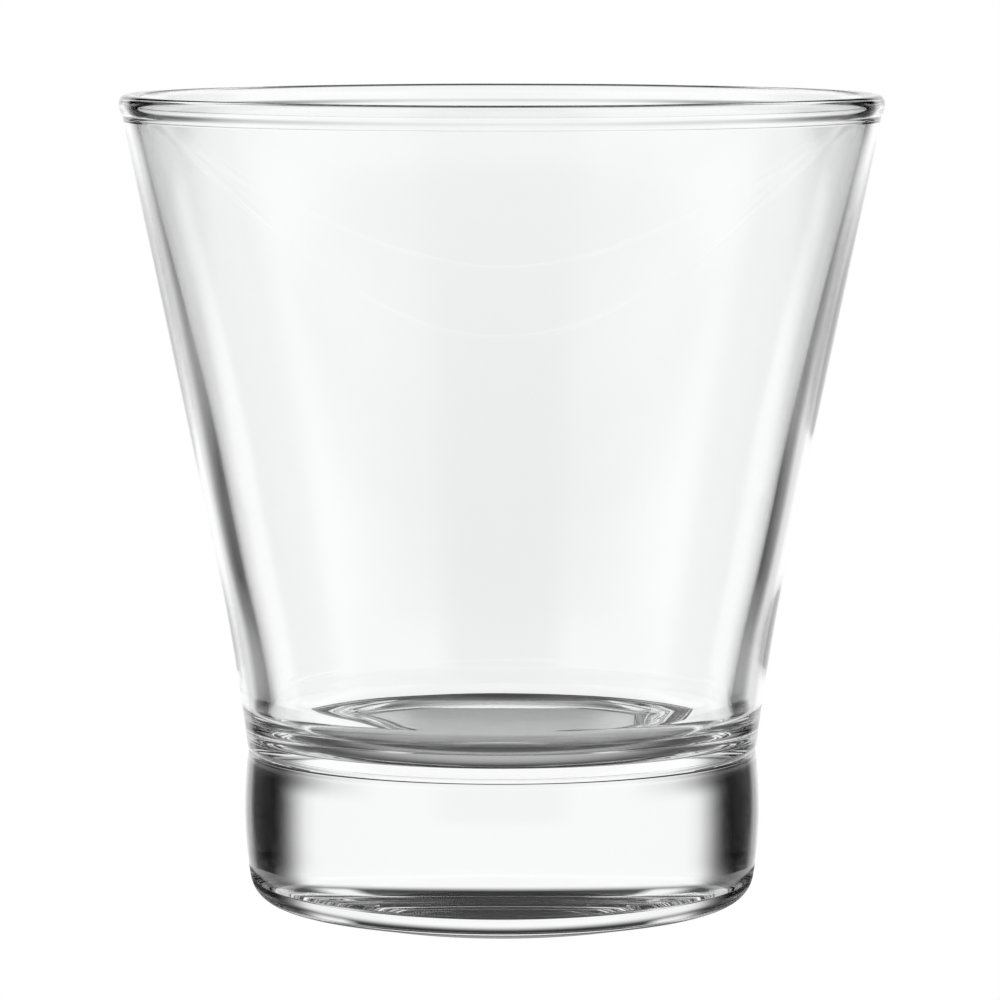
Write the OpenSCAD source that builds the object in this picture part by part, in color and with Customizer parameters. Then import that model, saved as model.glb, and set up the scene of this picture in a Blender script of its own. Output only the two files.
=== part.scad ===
// Cortado glass: a flared clear glass with a fire-polished rim bead, a thin
// wall and a thick solid foot with a shallow hollow underneath.
// Frame: millimetres, +Z up, origin on the axis in the plane of the resting ring.

/* [Overall] */
// Height of the whole glass
glass_h = 71.3; // [65:0.1:80]
// Outer diameter over the rim bead
rim_d = 66; // [62:0.1:70]
// Smoothness of the curved profiles, steps per curve
curve_steps = 18; // [8:1:30]

/* [Rim] */
// Height of the rim bead above the wall
bead_h = 2.1; // [1.6:0.1:2.6]
// How far the bead stands proud of the wall outside
bead_proud = 0.34; // [0.2:0.02:0.5]
// Squareness of the bead section, 2 is an ellipse
bead_square = 2.5; // [2:0.1:3.2]

/* [Bowl] */
// Outer diameter at the waist where bowl and foot are fused
waist_d = 44.0; // [42:0.1:46]
// Outward slope of the wall just above the waist, mm per mm of height
slope_low = 0.12; // [0.08:0.005:0.16]
// Height above the waist over which the wall reaches its full slope
flare_h = 18.5; // [12:0.5:26]
// Wall thickness under the rim
wall_top = 1.2; // [1:0.05:1.6]
// Wall thickness at half height
wall_mid = 2.2; // [1.6:0.05:2.5]
// Wall thickness just above the inner floor
wall_low = 2.55; // [2:0.05:3]
// Thickness of the bowl floor above the waist plane
floor_t = 1.0; // [0.8:0.1:2]
// Radius of the inside corner between wall and floor
floor_fillet = 3.6; // [2:0.1:5]
// Depth of the slight dish in the inner floor
floor_dish = 0.25; // [0.1:0.05:0.5]

/* [Foot] */
// Height of the foot up to the waist plane
foot_h = 14.5; // [12:0.1:17]
// Largest outer diameter of the foot
foot_d = 44.86; // [43.4:0.02:47]
// Radius of the barrel curve of the foot side
barrel_r = 36; // [30:1:60]
// Radius of the rounded heel at the bottom edge
heel_r = 2.6; // [1.2:0.1:3]
// Angle of the sloped underside above the table, degrees
heel_angle = 12; // [10:0.5:16]
// Radius at which the sloped underside meets the plane of the table
ring_r = 14.2; // [12:0.1:16]
// Width of the flat resting ring, inwards from that radius
ring_w = 5.2; // [3:0.2:6]
// Depth of the hollow under the foot
punt_h = 1.2; // [0.6:0.1:2]

/* [Hidden] */
turn = 128;
rim_r = rim_d / 2;
waist_r = waist_d / 2;
foot_r = foot_d / 2;
joint_z = glass_h - bead_h;          // plane between wall and rim bead
floor_z = foot_h + floor_t;          // inner floor at the foot of the fillet
neck = 0.14;                         // depth of the shallow groove at the waist
neck_h = 0.55;                       // height over which the groove fades
taper_h = 32;                        // height below the bead over which the wall thickens

// full slope of the wall, so that it arrives under the bead
bowl_r0 = waist_r + neck;
slope_top = (rim_r - bead_proud - bowl_r0 - slope_low * flare_h / 2)
            / (joint_z - foot_h - flare_h / 2);

function ease(u) = u <= 0 ? 0 : u >= 1 ? 1 : u * u * (3 - 2 * u);
// outer radius of the wall at height z, without the waist groove
function wall_line(z) = let (h = z - foot_h)
    h < flare_h ? bowl_r0 + slope_low * h + (slope_top - slope_low) * h * h / (2 * flare_h)
                : bowl_r0 + (slope_low + slope_top) / 2 * flare_h + slope_top * (h - flare_h);
function groove(z) = let (u = abs(z - foot_h) / neck_h) u >= 1 ? 0 : neck * pow(1 - u, 2);
function wall_out(z) = wall_line(z) - groove(z);
function wall_t(z) = wall_top + (wall_mid - wall_top) * ease((joint_z - z) / taper_h)
                   + (wall_low - wall_mid) * ease((foot_h + 17 - z) / 15);
function wall_in(z) = wall_line(z) - wall_t(z);

// inside corner: an arc tangent to the floor that meets the wall line
fil_z = floor_z + floor_fillet;
fil_r = wall_in(fil_z) - floor_fillet;

// Solid of revolution from a list of radius, height points
module turned(points) {
    rotate_extrude($fn = turn) polygon(points);
}

module rim() {
    bead_a = (rim_r - (wall_in(joint_z) - 0.02)) / 2;
    bead_b = 0.45 * bead_h;
    bead_rc = rim_r - bead_a;
    bead_zc = glass_h - bead_b;
    p = 2 / bead_square;
    n = curve_steps * 2;
    color([0.93, 0.96, 0.95, 0.6])
    turned(concat(
        [[wall_in(joint_z), joint_z]],
        // outside, swelling softly from the wall to the widest place
        [for (i = [0:8]) let (u = i / 8)
            [rim_r - bead_proud * (1 - ease(u)), joint_z + (bead_zc - joint_z) * u]],
        // rounded top, over to the inside
        [for (i = [1:n]) let (t = 180 * i / n, c = cos(t), s = sin(t))
            [bead_rc + bead_a * sign(c) * pow(abs(c), p),
             bead_zc + bead_b * pow(abs(s), p)]]
    ));
}

module bowl() {
    n = curve_steps;
    color([0.95, 0.97, 0.96, 0.45])
    turned(concat(
        [[0, foot_h]],
        // outside, waist groove then flare, upwards
        [for (i = [0:6]) let (z = foot_h + neck_h * i / 6) [wall_out(z), z]],
        [for (i = [1:n]) let (z = foot_h + neck_h + (flare_h - neck_h) * i / n) [wall_out(z), z]],
        [[wall_out(joint_z), joint_z]],
        // inside, downwards
        [for (i = [0:2 * n]) let (z = joint_z + (fil_z - joint_z) * i / (2 * n)) [wall_in(z), z]],
        // inside corner
        [for (i = [1:n]) let (a = 90 * i / n)
            [fil_r + floor_fillet * cos(a), fil_z - floor_fillet * sin(a)]],
        // dished floor to the axis
        [for (i = [1:n]) let (u = 1 - i / n) [fil_r * u, floor_z - floor_dish * (1 - u * u)]]
    ));
}

module foot() {
    n = curve_steps;
    barrel_c = foot_r - barrel_r;        // radius of the barrel arc's centre
    barrel_z = 9.3 * foot_h / 14.5;      // height of the widest place
    // heel circle: touches the barrel arc from inside and the sloped underside
    nx = -sin(heel_angle); nz = cos(heel_angle);
    bx = ring_r + nx * heel_r - barrel_c;
    bz = nz * heel_r - barrel_z;
    bd = bx * nz - bz * nx;
    cq = bx * bx + bz * bz - pow(barrel_r - heel_r, 2);
    t = -bd + sqrt(bd * bd - cq);
    hx = ring_r + nx * heel_r + nz * t;
    hz = nz * heel_r - nx * t;
    a_side = atan2(hz - barrel_z, hx - barrel_c);
    a_end = -90 + heel_angle;
    // sloped underside, easing into the flat resting ring
    ease_r = 0.9;
    slope_in = ring_r + ease_r;
    // hollow: a smooth dome that runs out flat in the resting ring
    punt_r = ring_r - ring_w;
    a_top = asin((foot_h - neck_h - barrel_z) / barrel_r);
    side_top = barrel_c + barrel_r * cos(a_top);
    color([0.86, 0.91, 0.89, 0.75])
    turned(concat(
        [[0, foot_h]],
        // rounded shoulder down from the waist groove
        [for (i = [0:6]) let (u = i / 6)
            [waist_r + (side_top - waist_r) * (1 - pow(1 - u, 2)), foot_h - neck_h * u]],
        // barrel side
        [for (i = [1:n]) let (a = a_top + (a_side - a_top) * i / n)
            [barrel_c + barrel_r * cos(a), barrel_z + barrel_r * sin(a)]],
        // heel
        [for (i = [1:n]) let (a = a_side + (a_end - a_side) * i / n)
            [hx + heel_r * cos(a), hz + heel_r * sin(a)]],
        // sloped underside
        [[slope_in, ease_r * tan(heel_angle)]],
        [for (i = [1:6]) let (r = slope_in - 2 * ease_r * i / 6)
            [r, tan(heel_angle) * pow(r - ring_r + ease_r, 2) / (4 * ease_r)]],
        // resting ring and hollow
        [for (i = [0:n]) let (u = 1 - i / n)
            [punt_r * u, punt_h * pow(1 - u * u, 2)]]
    ));
}

rim();
bowl();
foot();
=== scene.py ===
"""Cortado glass: a flared clear glass with a rim bead, a thin wall and a thick foot."""
import math

import bpy
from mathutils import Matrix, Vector


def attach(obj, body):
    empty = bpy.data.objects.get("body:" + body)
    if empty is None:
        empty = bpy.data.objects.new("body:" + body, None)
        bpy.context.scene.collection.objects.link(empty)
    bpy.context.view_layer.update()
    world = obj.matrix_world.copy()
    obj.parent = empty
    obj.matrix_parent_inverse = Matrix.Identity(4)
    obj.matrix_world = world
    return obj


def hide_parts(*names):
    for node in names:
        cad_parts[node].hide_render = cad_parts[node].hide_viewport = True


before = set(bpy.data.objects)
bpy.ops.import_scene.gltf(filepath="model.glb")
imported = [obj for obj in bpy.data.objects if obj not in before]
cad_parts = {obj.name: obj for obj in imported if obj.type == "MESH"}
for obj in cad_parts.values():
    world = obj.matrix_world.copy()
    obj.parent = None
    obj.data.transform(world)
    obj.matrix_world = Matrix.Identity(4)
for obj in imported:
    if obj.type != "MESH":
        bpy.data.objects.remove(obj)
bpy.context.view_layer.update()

MM = 0.001

# ---------------------------------------------------------------- the form, in millimetres
GLASS_H, RIM_D = 71.3, 66.0
BEAD_H, BEAD_PROUD, BEAD_SQUARE = 2.1, 0.34, 2.5
WAIST_D, SLOPE_LOW, FLARE_H = 44.0, 0.12, 18.5
WALL_TOP, WALL_MID, WALL_LOW, TAPER_H = 1.2, 2.2, 2.55, 32.0
FLOOR_T, FLOOR_FILLET, FLOOR_DISH = 1.0, 3.6, 0.25
FOOT_H, FOOT_D, BARREL_R = 14.5, 44.86, 36.0
HEEL_R = 2.6
HEEL_ANGLE = 12.0
RING_R = 14.2
RING_W = 5.2
PUNT_H = 1.2
NECK, NECK_H = 0.14, 0.55

RIM_R, WAIST_R, FOOT_R = RIM_D / 2, WAIST_D / 2, FOOT_D / 2
JOINT_Z = GLASS_H - BEAD_H
FLOOR_Z = FOOT_H + FLOOR_T
BOWL_R0 = WAIST_R + NECK
SLOPE_TOP = (RIM_R - BEAD_PROUD - BOWL_R0 - SLOPE_LOW * FLARE_H / 2) / (JOINT_Z - FOOT_H - FLARE_H / 2)

SEGS = 288
GLASS, JOINT = 0, 1


def ease(u):
    return 0.0 if u <= 0 else 1.0 if u >= 1 else u * u * (3 - 2 * u)


def wall_line(z):
    h = z - FOOT_H
    if h < FLARE_H:
        return BOWL_R0 + SLOPE_LOW * h + (SLOPE_TOP - SLOPE_LOW) * h * h / (2 * FLARE_H)
    return BOWL_R0 + (SLOPE_LOW + SLOPE_TOP) / 2 * FLARE_H + SLOPE_TOP * (h - FLARE_H)


def groove(z):
    u = abs(z - FOOT_H) / NECK_H
    return 0.0 if u >= 1 else NECK * (1 - u) ** 2


def wall_out(z):
    return wall_line(z) - groove(z)


def wall_in(z):
    t = (WALL_TOP + (WALL_MID - WALL_TOP) * ease((JOINT_Z - z) / TAPER_H)
         + (WALL_LOW - WALL_MID) * ease((FOOT_H + 17 - z) / 15))
    return wall_line(z) - t


FIL_Z = FLOOR_Z + FLOOR_FILLET
FIL_R = wall_in(FIL_Z) - FLOOR_FILLET


def rim_profile():
    """Closed ring of (radius, height, kind of the face that starts here)."""
    a = (RIM_R - (wall_in(JOINT_Z) - 0.02)) / 2
    b = 0.45 * BEAD_H
    rc, zc = RIM_R - a, GLASS_H - b
    p = 2 / BEAD_SQUARE
    pts = [(wall_in(JOINT_Z), JOINT_Z, JOINT)]
    for i in range(0, 21):
        u = i / 20
        pts.append((RIM_R - BEAD_PROUD * (1 - ease(u)), JOINT_Z + (zc - JOINT_Z) * u, GLASS))
    n = 72
    for i in range(1, n):
        t = math.pi * i / n
        c, s = math.cos(t), math.sin(t)
        pts.append((rc + a * math.copysign(abs(c) ** p, c), zc + b * abs(s) ** p, GLASS))
    for i in range(0, 6):
        u = i / 6
        pts.append((rc - a + (wall_in(JOINT_Z) - rc + a) * u, zc + (JOINT_Z - zc) * u, GLASS))
    return pts


def bowl_profile():
    pts = [(0.0, FOOT_H, JOINT), (wall_out(FOOT_H), FOOT_H, GLASS)]
    for i in range(1, 9):
        z = FOOT_H + NECK_H * i / 8
        pts.append((wall_out(z), z, GLASS))
    n = 54
    for i in range(1, n + 1):
        z = FOOT_H + NECK_H + (JOINT_Z - FOOT_H - NECK_H) * i / n
        pts.append((wall_out(z), z, GLASS if i < n else JOINT))
    n = 60
    for i in range(0, n + 1):
        z = JOINT_Z + (FIL_Z - JOINT_Z) * i / n
        pts.append((wall_in(z), z, GLASS))
    for i in range(1, 25):
        a = math.radians(90) * i / 24
        pts.append((FIL_R + FLOOR_FILLET * math.cos(a), FIL_Z - FLOOR_FILLET * math.sin(a), GLASS))
    n = 30
    for i in range(1, n + 1):
        u = 1 - i / n
        pts.append((FIL_R * u, FLOOR_Z - FLOOR_DISH * (1 - u * u), GLASS))
    return pts


def foot_profile():
    bc, bz0 = FOOT_R - BARREL_R, 9.3 * FOOT_H / 14.5
    ang = math.radians(HEEL_ANGLE)
    nx, nz = -math.sin(ang), math.cos(ang)
    bx = RING_R + nx * HEEL_R - bc
    bz = nz * HEEL_R - bz0
    bd = bx * nz - bz * nx
    cq = bx * bx + bz * bz - (BARREL_R - HEEL_R) ** 2
    t = -bd + math.sqrt(bd * bd - cq)
    hx = RING_R + nx * HEEL_R + nz * t
    hz = nz * HEEL_R - nx * t
    a_side = math.atan2(hz - bz0, hx - bc)
    a_end = math.radians(-90) + ang
    a_top = math.asin((FOOT_H - NECK_H - bz0) / BARREL_R)
    side_top = bc + BARREL_R * math.cos(a_top)
    pts = [(0.0, FOOT_H, JOINT)]
    for i in range(0, 9):
        u = i / 8
        pts.append((WAIST_R + (side_top - WAIST_R) * (1 - (1 - u) ** 2), FOOT_H - NECK_H * u, GLASS))
    n = 40
    for i in range(1, n + 1):
        a = a_top + (a_side - a_top) * i / n
        pts.append((bc + BARREL_R * math.cos(a), bz0 + BARREL_R * math.sin(a), GLASS))
    n = 32
    for i in range(1, n + 1):
        a = a_side + (a_end - a_side) * i / n
        pts.append((hx + HEEL_R * math.cos(a), hz + HEEL_R * math.sin(a), GLASS))
    # sloped underside, easing into the flat resting ring
    ease_r = 0.9
    x0, z0 = pts[-1][0], pts[-1][1]
    x1 = RING_R + ease_r
    for i in range(1, 9):
        x = x0 + (x1 - x0) * i / 8
        pts.append((x, (x - RING_R) * math.tan(ang), GLASS))
    for i in range(1, 11):
        x = x1 - 2 * ease_r * i / 10
        pts.append((x, math.tan(ang) * (x - RING_R + ease_r) ** 2 / (4 * ease_r), GLASS))
    # hollow: a smooth dome that runs out flat in the resting ring
    punt_r = RING_R - RING_W
    n = 56
    for i in range(0, n + 1):
        u = 1 - i / n
        pts.append((punt_r * u, PUNT_H * (1 - u * u) ** 2, GLASS))
    return pts


# ---------------------------------------------------------------- slight unevenness of pressed glass
def swell(th, z, seed):
    """Smooth uneven field of about -1 to 1 round the glass."""
    return (0.42 * math.sin(3 * th + 0.9 * seed + z * 0.031)
            + 0.30 * math.sin(5 * th - 1.7 * seed + 0.6 * math.sin(z * 0.06))
            + 0.18 * math.sin(9 * th + 2.3 * seed - z * 0.05)
            + 0.10 * math.sin(14 * th - 0.7 * seed + z * 0.09))


def fade(z, marks, reach):
    k = 1.0
    for m in marks:
        k *= ease(abs(z - m) / reach)
    return k


def turned(name, pts, ring, segs=SEGS, uneven=None):
    """Solid of revolution. pts are (radius, height, kind); ring closes the last point to the first."""
    verts, rows = [], []
    for r, z, _ in pts:
        if r <= 1e-9:
            rows.append([len(verts)])
            verts.append((0.0, 0.0, z * MM))
            continue
        row = []
        for j in range(segs):
            th = 2 * math.pi * j / segs
            dr, dz = uneven(th, r, z) if uneven else (0.0, 0.0)
            rr = r + dr
            row.append(len(verts))
            verts.append((rr * math.cos(th) * MM, rr * math.sin(th) * MM, (z + dz) * MM))
        rows.append(row)
    faces, kinds = [], []
    count = len(pts) if ring else len(pts) - 1
    for i in range(count):
        a, b = rows[i], rows[(i + 1) % len(pts)]
        for j in range(segs):
            k = (j + 1) % segs
            if len(a) == 1:
                faces.append((a[0], b[j], b[k]))
            elif len(b) == 1:
                faces.append((a[j], b[0], a[k]))
            else:
                faces.append((a[j], b[j], b[k], a[k]))
            kinds.append(pts[i][2])
    mesh = bpy.data.meshes.new(name)
    mesh.from_pydata(verts, [], faces)
    mesh.update()
    ob = bpy.data.objects.new(name, mesh)
    bpy.context.scene.collection.objects.link(ob)
    mesh.polygons.foreach_set("material_index", kinds)
    mesh.polygons.foreach_set("use_smooth", [True] * len(faces))
    # outward normals
    vol = 0.0
    for p in mesh.polygons:
        vol += p.center.dot(p.normal) * p.area
    if vol < 0:
        mesh.flip_normals()
    # a crease where a fused joint face meets the outer glass
    kinds_of = {}
    for p in mesh.polygons:
        for e in p.edge_keys:
            kinds_of.setdefault(e, set()).add(p.material_index)
    sharp = mesh.attributes.new("sharp_edge", "BOOLEAN", "EDGE")
    sharp.data.foreach_set("value", [len(kinds_of[tuple(sorted(e.vertices))]) > 1 for e in mesh.edges])
    mesh.update()
    return ob


def rim_uneven(th, r, z):
    k = ease((z - JOINT_Z) / 0.9)
    return 0.022 * k * swell(th, z, 1.3), 0.030 * k * swell(th, 0, 4.1)


def bowl_uneven(th, r, z):
    k = fade(z, (FOOT_H, JOINT_Z), 3.0)
    if z < FOOT_H + 0.01 or z > JOINT_Z - 0.01:
        return 0.0, 0.0
    inside = r < wall_line(z) - 0.5
    if inside and z < FIL_Z:
        return 0.0, 0.0
    return (0.030 if inside else 0.020) * k * swell(th, z, 5.2 if inside else 2.6), 0.0


def foot_uneven(th, r, z):
    if r < RING_R + 1 or z > FOOT_H - 0.01:
        return 0.0, 0.0
    return 0.012 * fade(z, (FOOT_H,), 2.5) * ease(z / 3) * swell(th, z, 7.7), 0.0


# ---------------------------------------------------------------- materials
def nodes_of(name):
    m = bpy.data.materials.new(name)
    m.use_nodes = True
    nt = m.node_tree
    nt.nodes.clear()
    out = nt.nodes.new("ShaderNodeOutputMaterial")
    return m, nt, out


def glass(name, tint_a, tint_b, rough, bump, wave_scale, streak):
    """Clear soda-lime glass: a faint tint that varies, a faint haze and fine waves left by the mould."""
    m, nt, out = nodes_of(name)
    new, link = nt.nodes.new, nt.links.new
    p = new("ShaderNodeBsdfPrincipled")
    p.inputs["Transmission Weight"].default_value = 1.0
    p.inputs["IOR"].default_value = 1.517
    link(p.outputs[0], out.inputs["Surface"])
    tc = new("ShaderNodeTexCoord")
    # tint
    n1 = new("ShaderNodeTexNoise")
    n1.inputs["Scale"].default_value = 28.0
    n1.inputs["Detail"].default_value = 3.0
    link(tc.outputs["Object"], n1.inputs["Vector"])
    mix = new("ShaderNodeMix")
    mix.data_type = "RGBA"
    mix.inputs[6].default_value = (*tint_a, 1)
    mix.inputs[7].default_value = (*tint_b, 1)
    link(n1.outputs["Fac"], mix.inputs[0])
    link(mix.outputs[2], p.inputs["Base Color"])
    # haze
    n2 = new("ShaderNodeTexNoise")
    n2.inputs["Scale"].default_value = 90.0
    n2.inputs["Detail"].default_value = 5.0
    link(tc.outputs["Object"], n2.inputs["Vector"])
    mr = new("ShaderNodeMapRange")
    mr.inputs["From Min"].default_value = 0.45
    mr.inputs["From Max"].default_value = 0.75
    mr.inputs["To Min"].default_value = 0.0
    mr.inputs["To Max"].default_value = rough
    link(n2.outputs["Fac"], mr.inputs["Value"])
    link(mr.outputs["Result"], p.inputs["Roughness"])
    # fine waves, stretched along the height as on pressed glass
    mp = new("ShaderNodeMapping")
    mp.inputs["Scale"].default_value = (1, 1, streak)
    link(tc.outputs["Object"], mp.inputs["Vector"])
    n3 = new("ShaderNodeTexNoise")
    n3.inputs["Scale"].default_value = wave_scale
    n3.inputs["Detail"].default_value = 2.0
    n3.inputs["Roughness"].default_value = 0.4
    link(mp.outputs["Vector"], n3.inputs["Vector"])
    b = new("ShaderNodeBump")
    b.inputs["Strength"].default_value = 1.0
    b.inputs["Distance"].default_value = bump
    link(n3.outputs["Fac"], b.inputs["Height"])
    link(b.outputs["Normal"], p.inputs["Normal"])
    return m


def fused(name):
    """A face where two zones of the glass run into each other: nothing shows there."""
    m, nt, out = nodes_of(name)
    t = nt.nodes.new("ShaderNodeBsdfTransparent")
    t.inputs["Color"].default_value = (1, 1, 1, 1)
    nt.links.new(t.outputs[0], out.inputs["Surface"])
    return m


MAT_RIM = glass("rim_glass_look", (0.995, 0.997, 0.998), (0.986, 0.990, 0.992), 0.010, 0.000004, 160.0, 0.5)
MAT_BOWL = glass("bowl_glass_look", (0.996, 0.998, 0.999), (0.990, 0.993, 0.995), 0.010, 0.000006, 90.0, 0.22)
MAT_FOOT = glass("foot_glass_look", (0.990, 0.993, 0.994), (0.980, 0.984, 0.986), 0.006, 0.000002, 110.0, 0.30)
MAT_JOINT = fused("fused_joint_look")

rim = turned("rim_glass_piece", rim_profile(), True, uneven=rim_uneven)
bowl = turned("bowl_glass_piece", bowl_profile(), False, uneven=bowl_uneven)
foot = turned("foot_glass_piece", foot_profile(), False, uneven=foot_uneven)
for ob, mat, node in ((rim, MAT_RIM, "rim"), (bowl, MAT_BOWL, "bowl"), (foot, MAT_FOOT, "foot")):
    ob.data.materials.append(mat)
    ob.data.materials.append(MAT_JOINT)
    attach(ob, "root")
    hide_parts(node)

# ---------------------------------------------------------------- stage
def add_math(nt, op, a, b=None):
    n = nt.nodes.new("ShaderNodeMath")
    n.operation = op
    for i, v in enumerate((a, b)):
        if v is None:
            continue
        if isinstance(v, (int, float)):
            n.inputs[i].default_value = v
        else:
            nt.links.new(v, n.inputs[i])
    return n.outputs[0]


def add_soft(nt, value, a, b, lo=0.0, hi=1.0):
    """Smooth change from lo at value a to hi at value b."""
    n = nt.nodes.new("ShaderNodeMapRange")
    n.interpolation_type = "SMOOTHSTEP"
    n.inputs["From Min"].default_value, n.inputs["From Max"].default_value = a, b
    n.inputs["To Min"].default_value, n.inputs["To Max"].default_value = lo, hi
    nt.links.new(value, n.inputs["Value"])
    return n.outputs["Result"]


def add_steps(nt, value, stops, full):
    """Straight pieces through (position, level); value and positions run from 0 to full."""
    n = nt.nodes.new("ShaderNodeValToRGB")
    n.color_ramp.interpolation = "LINEAR"
    e = n.color_ramp.elements
    while len(e) > 1:
        e.remove(e[-1])
    e[0].position, e[0].color = stops[0][0] / full, (*[stops[0][1]] * 3, 1)
    for pos, v in stops[1:]:
        x = e.new(pos / full)
        x.color = (v, v, v, 1)
    nt.links.new(add_math(nt, "DIVIDE", value, full), n.inputs[0])
    return n.outputs[0]


def disc(name, radius, z):
    me = bpy.data.meshes.new(name)
    n = 96
    me.from_pydata([(radius * math.cos(2 * math.pi * i / n), radius * math.sin(2 * math.pi * i / n), 0.0)
                    for i in range(n)], [], [tuple(range(n))])
    ob = bpy.data.objects.new(name, me)
    bpy.context.scene.collection.objects.link(ob)
    ob.location.z = z
    return ob


def emissive(name):
    m, nt, out = nodes_of(name)
    d = nt.nodes.new("ShaderNodeBsdfPrincipled")
    d.inputs["Base Color"].default_value = (0.0, 0.0, 0.0, 1)
    d.inputs["Roughness"].default_value = 1.0
    d.inputs["Specular IOR Level"].default_value = 0.0
    d.inputs["Emission Color"].default_value = (1, 1, 1, 1)
    nt.links.new(d.outputs[0], out.inputs["Surface"])
    return m, nt, d


# the SHADE_ numbers set a painted shadow on the floor under the glass
FLOOR_R = 0.034
SHADE_R = 0.031
SHADE_R0 = 0.0295
SHADE_V = (0.44, 0.03)                        # in front of the glass and behind its middle
SHADE_Y = 0.006
# pale floor, lit to white
floor = disc("floor", FLOOR_R, -0.00006)
m, nt, d = emissive("pale_floor")
d.inputs["Emission Strength"].default_value = 1.0
floor.data.materials.append(m)
# painted shadow on the floor right under the glass, seen through the glass only: a glowing disc, darkest behind the
# glass's middle, lighter in front, full white at its rim
shade = disc("floor_shade", SHADE_R, -0.00002)
shade.location.y = SHADE_Y
m, nt, d = emissive("floor_shade_look")
tc = nt.nodes.new("ShaderNodeTexCoord")
ln = nt.nodes.new("ShaderNodeVectorMath")
ln.operation = "LENGTH"
nt.links.new(tc.outputs["Object"], ln.inputs[0])
sp = nt.nodes.new("ShaderNodeSeparateXYZ")
nt.links.new(tc.outputs["Object"], sp.inputs[0])
# painted shadow: the glow falls from front to back and rises to full towards the disc's rim
depth = add_soft(nt, sp.outputs[1], -0.019 - SHADE_Y, -0.003 - SHADE_Y, SHADE_V[0], SHADE_V[1])
edge = add_soft(nt, ln.outputs["Value"], SHADE_R0, SHADE_R)
rest = add_math(nt, "MULTIPLY", add_math(nt, "SUBTRACT", 1.0, depth), edge)
nt.links.new(add_math(nt, "ADD", depth, rest), d.inputs["Emission Strength"])
shade.data.materials.append(m)
shade.visible_camera = False

def card(name, x, y_edges, z_edges, through):
    """A gauze or a black flag beside the glass, outside the picture, with soft edges.

    y_edges is near edge and its softness, far edge and its softness; z_edges is bottom, top and softness;
    through is what it lets through at heights in millimetres.
    """
    y0, y1 = y_edges[0] - y_edges[1], y_edges[2] + y_edges[3]
    z0, z1 = z_edges[0] - z_edges[2], z_edges[1] + z_edges[2]
    me = bpy.data.meshes.new(name)
    me.from_pydata([(x, y0, z0), (x, y1, z0), (x, y1, z1), (x, y0, z1)], [], [(0, 1, 2, 3)])
    ob = bpy.data.objects.new(name, me)
    bpy.context.scene.collection.objects.link(ob)
    m, nt, out = nodes_of(name + "_look")
    t = nt.nodes.new("ShaderNodeBsdfTransparent")
    tc = nt.nodes.new("ShaderNodeTexCoord")
    sep = nt.nodes.new("ShaderNodeSeparateXYZ")
    nt.links.new(tc.outputs["Object"], sep.inputs[0])
    y, z = sep.outputs[1], sep.outputs[2]
    k = add_soft(nt, y, y0, y_edges[0] + y_edges[1])
    k = add_math(nt, "MULTIPLY", k, add_soft(nt, y, y_edges[2] - y_edges[3], y1, 1.0, 0.0))
    k = add_math(nt, "MULTIPLY", k, add_soft(nt, z, z0, z_edges[0] + z_edges[2]))
    k = add_math(nt, "MULTIPLY", k, add_soft(nt, z, z_edges[1] - z_edges[2], z1, 1.0, 0.0))
    height = add_math(nt, "ADD", add_math(nt, "MULTIPLY", z, 1000.0), 60.0)
    dark = add_steps(nt, height, [(h + 60, 1.0 - v) for h, v in through], 180.0)
    nt.links.new(add_math(nt, "SUBTRACT", 1.0, add_math(nt, "MULTIPLY", k, dark)), t.inputs["Color"])
    nt.links.new(t.outputs[0], out.inputs["Surface"])
    me.materials.append(m)
    ob.visible_camera = False
    return ob


for word, side in (("left", -1), ("right", 1)):
    card("gauze_" + word, side * 0.104, (0.056, 0.014, 0.138, 0.030), (-0.045, 0.110, 0.010),
         [(-60, 0.38), (-24, 0.38), (-14, 0.12), (-3, 0.12), (10, 0.27), (120, 0.27)])
    card("flag_" + word, side * 0.107, (0.054, 0.014, 0.160, 0.030), (0.050, 0.115, 0.008),
         [(-60, 0.0), (120, 0.0)])

# Light by direction. The first number is the angle from straight behind the glass, in degrees, the second the light.
BACK_LOW = [(0, 1), (20, 1), (30, .8), (38, .45), (46, .2), (52, .05), (56, 0), (78, 0), (86, .6), (92, .9), (180, .9)]
BACK_MID = [(0, 1), (34, 1), (38, .9), (42, .75), (46, .5), (50, .2), (53, .05), (56, 0), (78, 0), (86, .6), (92, .9),
            (180, .9)]
BACK_HIGH = [(0, 1), (34, 1), (40, .9), (46, .5), (52, .1), (54, 0), (78, 0), (86, .6), (92, .9), (180, .9)]
SIDE_SKY = [(0, 0), (25, 0), (29, 1), (95, 1), (130, .4), (180, .1)]
SIDE_TOP = [(0, 36 / 90), (30, 36 / 90), (50, 42 / 90), (70, 50 / 90), (90, 58 / 90), (120, 60 / 90), (180, 60 / 90)]
FRONT = [(0, 0), (146, 0), (158, 1), (180, 1)]
FRONT_LOW = [(0, 0), (90, 0), (110, 1), (180, 1)]


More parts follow.
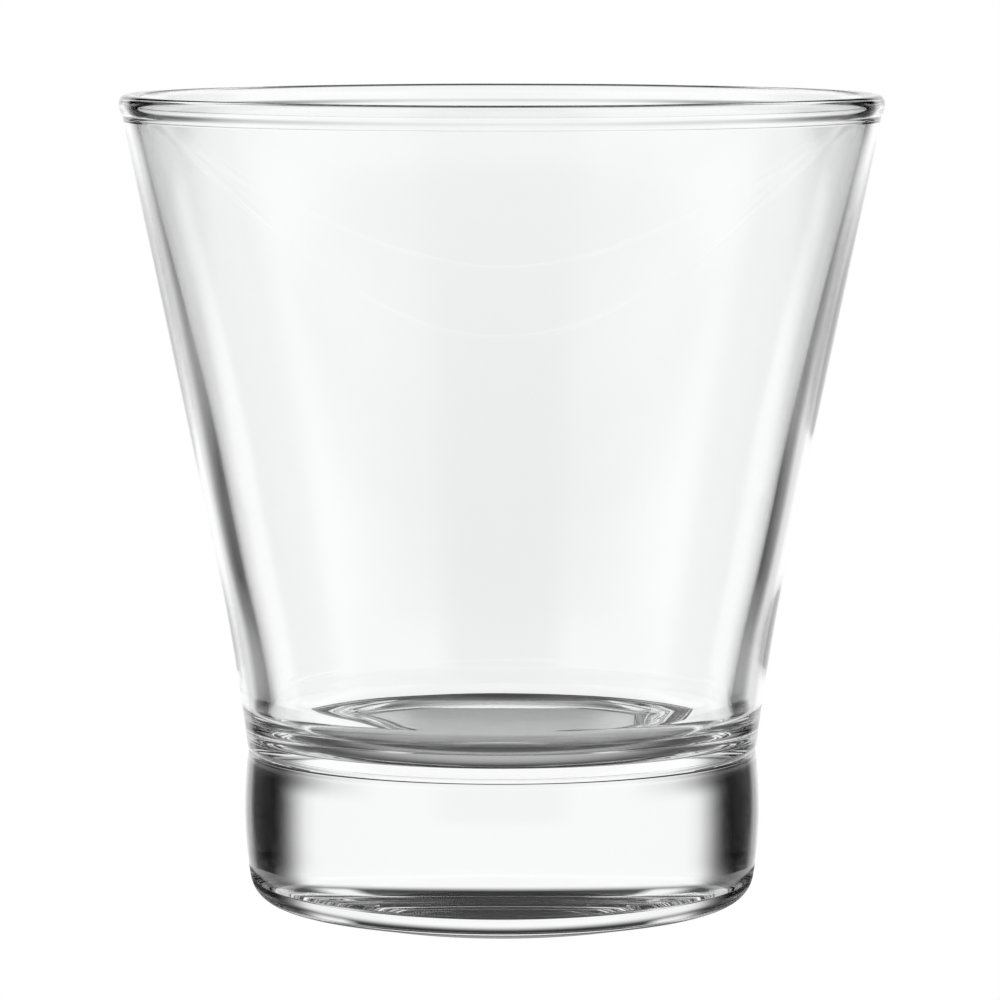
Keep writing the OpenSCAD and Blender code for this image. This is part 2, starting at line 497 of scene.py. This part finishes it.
def studio():
    """Bright-field studio: a white sweep all round, dark above, dark in front and dark bands at the sides."""
    w = bpy.data.worlds.new("studio")
    bpy.context.scene.world = w
    w.use_nodes = True
    nt = w.node_tree
    nt.nodes.clear()

    def calc(op, a, b=None):
        return add_math(nt, op, a, b)

    def soft(v, a, b, lo=0.0, hi=1.0):
        return add_soft(nt, v, a, b, lo, hi)

    def steps(v, stops):
        return add_steps(nt, v, stops, 180.0)

    def blend(a, b, k):
        """a where k is 0, b where k is 1"""
        return calc("ADD", a, calc("MULTIPLY", calc("SUBTRACT", b, a), k))

    tc = nt.nodes.new("ShaderNodeTexCoord")
    sep = nt.nodes.new("ShaderNodeSeparateXYZ")
    nt.links.new(tc.outputs["Generated"], sep.inputs[0])
    deg = 180.0 / math.pi
    az = calc("MULTIPLY", calc("ARCTAN2", calc("ABSOLUTE", sep.outputs[0]), sep.outputs[1]), deg)
    el = calc("MULTIPLY", calc("ARCSINE", calc("MINIMUM", calc("MAXIMUM", sep.outputs[2], -1.0), 1.0)), deg)

    light = soft(el, 10, 18, 1.0, 0.0)
    back = blend(steps(az, BACK_LOW), steps(az, BACK_MID), soft(el, -11.5, -9.0))
    back = blend(back, steps(az, BACK_HIGH), soft(el, -2, 3))
    window = calc("MULTIPLY", soft(el, -17, -14), soft(el, 12, 20, 1.0, 0.0))
    light = calc("MULTIPLY", light, blend(1.0, back, window))
    over = calc("SUBTRACT", el, calc("MULTIPLY", steps(az, SIDE_TOP), 90.0))
    sky = calc("MULTIPLY", calc("MULTIPLY", steps(az, SIDE_SKY), soft(el, 12, 20)), soft(over, -3, 3, 1.0, 0.0))
    light = calc("MAXIMUM", light, sky)
    light = calc("MULTIPLY", light, blend(1.0, 0.0, calc("MULTIPLY", steps(az, FRONT), soft(el, -5, -1))))
    light = calc("MULTIPLY", light, blend(1.0, 0.05, calc("MULTIPLY", steps(az, FRONT_LOW), soft(el, -30, -24, 1.0, 0.0))))
    light = calc("MULTIPLY", light, soft(el, -44, -34, 0.12, 1.0))

    bg = nt.nodes.new("ShaderNodeBackground")
    nt.links.new(light, bg.inputs["Color"])
    white = nt.nodes.new("ShaderNodeBackground")
    white.inputs["Color"].default_value = (1, 1, 1, 1)
    lp = nt.nodes.new("ShaderNodeLightPath")
    ms = nt.nodes.new("ShaderNodeMixShader")
    nt.links.new(lp.outputs["Is Camera Ray"], ms.inputs[0])
    nt.links.new(bg.outputs[0], ms.inputs[1])
    nt.links.new(white.outputs[0], ms.inputs[2])
    out = nt.nodes.new("ShaderNodeOutputWorld")
    nt.links.new(ms.outputs[0], out.inputs["Surface"])


studio()

# ---------------------------------------------------------------- camera
cam_data = bpy.data.cameras.new("camera")
cam = bpy.data.objects.new("camera", cam_data)
bpy.context.scene.collection.objects.link(cam)
bpy.context.scene.camera = cam
cam_data.sensor_width = 36.0
cam_data.lens = 5668.5 * 36.0 / 1000.0
cam_data.clip_start, cam_data.clip_end = 0.02, 60.0
cam.location = (0.0, -0.490, 0.08547)
cam.rotation_euler = (math.radians(90) - 0.10036, 0.0, 0.0)
cam_data.shift_x = -0.0020
cam_data.shift_y = -0.0005

sc = bpy.context.scene
sc.view_settings.view_transform = "Standard"
sc.view_settings.look = "None"
sc.cycles.max_bounces = 40
sc.cycles.transmission_bounces = 36
sc.cycles.glossy_bounces = 24
sc.cycles.diffuse_bounces = 4
sc.cycles.transparent_max_bounces = 40
sc.cycles.caustics_reflective = True
sc.cycles.caustics_refractive = True
